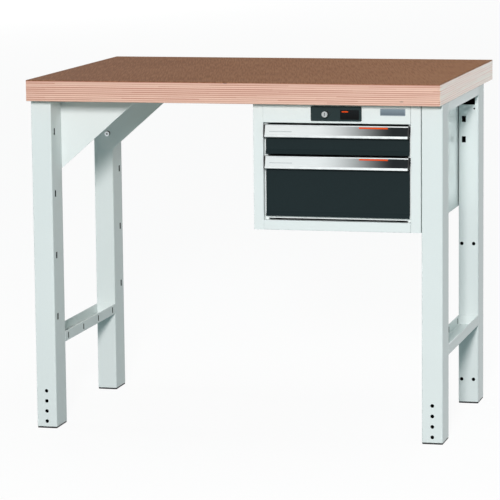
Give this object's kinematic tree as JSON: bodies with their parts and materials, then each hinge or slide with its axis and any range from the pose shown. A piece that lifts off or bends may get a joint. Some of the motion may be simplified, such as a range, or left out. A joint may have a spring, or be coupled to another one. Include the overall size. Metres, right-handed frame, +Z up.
{
  "type": "workbench",
  "caption": "Free-standing workbench: thick plywood top on sheet-steel leg frames, with a lockable under-top drawer cabinet at its right and knee plates at its left legs.",
  "frame": {"origin": "on the floor, below the middle of the worktop", "axes": "+X along the bench towards the cabinet, +Y from front to back, +Z up"},
  "size_m": [1, 0.75, 0.85],
  "materials": {
    "worktop_ply": "plywood, ply edges oiled",
    "worktop_brown": "brown wear sheet, satin",
    "grey_paint": "light grey powder coat, semi-gloss",
    "anthracite_paint": "anthracite powder coat, fine texture",
    "tray_paint": "grey powder coat",
    "black_plastic": "moulded, fine grain",
    "bare_aluminium": "anodised, drawn along its length",
    "label_stock": "printed strip",
    "plate_blue": "bare grey-blue plate",
    "lock_nickel": "nickel plated",
    "zinc_steel": "zinc plated"
  },
  "bodies": {
    "bench": {"worktop_board": "worktop_ply", "worktop_facing": "worktop_brown", "left_front_leg": "grey_paint", "left_front_foot": "black_plastic", "left_rear_leg": "grey_paint", "left_rear_foot": "black_plastic", "left_lower_rail": "grey_paint", "left_upper_rail": "grey_paint", "cabinet_left_side": "grey_paint", "right_front_leg": "grey_paint", "right_front_foot": "black_plastic", "right_rear_leg": "grey_paint", "right_rear_foot": "black_plastic", "right_lower_rail": "grey_paint", "right_upper_rail": "grey_paint", "cabinet_right_side": "grey_paint", "left_front_gusset": "grey_paint", "left_rear_gusset": "grey_paint", "gusset_worktop_screws": "zinc_steel", "rail_worktop_screws": "zinc_steel", "cabinet_worktop_screws": "zinc_steel", "cabinet_leg_bolts": "zinc_steel", "lock_bar_guides": "zinc_steel", "gusset_fasteners": "zinc_steel", "cabinet_top": "grey_paint", "cabinet_floor": "grey_paint", "cabinet_back": "grey_paint", "cabinet_fascia": "grey_paint", "cabinet_sill": "grey_paint", "cabinet_posts": "grey_paint", "name_plate": "plate_blue", "lock_plate": "anthracite_paint", "lock_housing": "lock_nickel", "upper_left_fixed_rail": "zinc_steel", "upper_right_fixed_rail": "zinc_steel", "lower_left_fixed_rail": "zinc_steel", "lower_right_fixed_rail": "zinc_steel"},
    "lock": {"lock_plug": "lock_nickel", "lock_cam": "zinc_steel"},
    "lock_bar": {"lock_bar": "zinc_steel"},
    "upper_runners": {"upper_left_middle_rail": "zinc_steel", "upper_right_middle_rail": "zinc_steel"},
    "upper_drawer": {"upper_tray": "tray_paint", "upper_front": "anthracite_paint", "upper_handle": "bare_aluminium", "upper_handle_caps": "black_plastic", "upper_label": "label_stock", "upper_catch": "zinc_steel", "upper_left_drawer_rail": "zinc_steel", "upper_right_drawer_rail": "zinc_steel"},
    "lower_runners": {"lower_left_middle_rail": "zinc_steel", "lower_right_middle_rail": "zinc_steel"},
    "lower_drawer": {"lower_tray": "tray_paint", "lower_front": "anthracite_paint", "lower_handle": "bare_aluminium", "lower_handle_caps": "black_plastic", "lower_label": "label_stock", "lower_catch": "zinc_steel", "lower_left_drawer_rail": "zinc_steel", "lower_right_drawer_rail": "zinc_steel"}
  },
  "joints": [
    {"name": "upper_drawer_slide", "type": "slide", "parent": "bench", "child": "upper_drawer", "axis": [0, -1, 0], "range_m": [0, 0.45]},
    {"name": "upper_runner_slide", "type": "slide", "parent": "bench", "child": "upper_runners", "axis": [0, -1, 0], "range_m": [0, 0.225]},
    {"name": "lower_drawer_slide", "type": "slide", "parent": "bench", "child": "lower_drawer", "axis": [0, -1, 0], "range_m": [0, 0.45]},
    {"name": "lower_runner_slide", "type": "slide", "parent": "bench", "child": "lower_runners", "axis": [0, -1, 0], "range_m": [0, 0.225]},
    {"name": "lock_turn", "type": "hinge", "parent": "bench", "child": "lock", "pos_m": [0.2255, -0.34, 0.777], "axis": [0, -1, 0], "range_deg": [0, 92]},
    {"name": "lock_bar_slide", "type": "slide", "parent": "bench", "child": "lock_bar", "axis": [-1, 0, 0], "range_m": [0, 0.008]}
  ],
  "couplings": [
    {"joint": "upper_runner_slide", "follows": "upper_drawer_slide", "ratio": 0.5},
    {"joint": "lower_runner_slide", "follows": "lower_drawer_slide", "ratio": 0.5},
    {"joint": "lock_turn", "follows": "lock_bar_slide", "rad_per_m": 196.35}
  ]
}
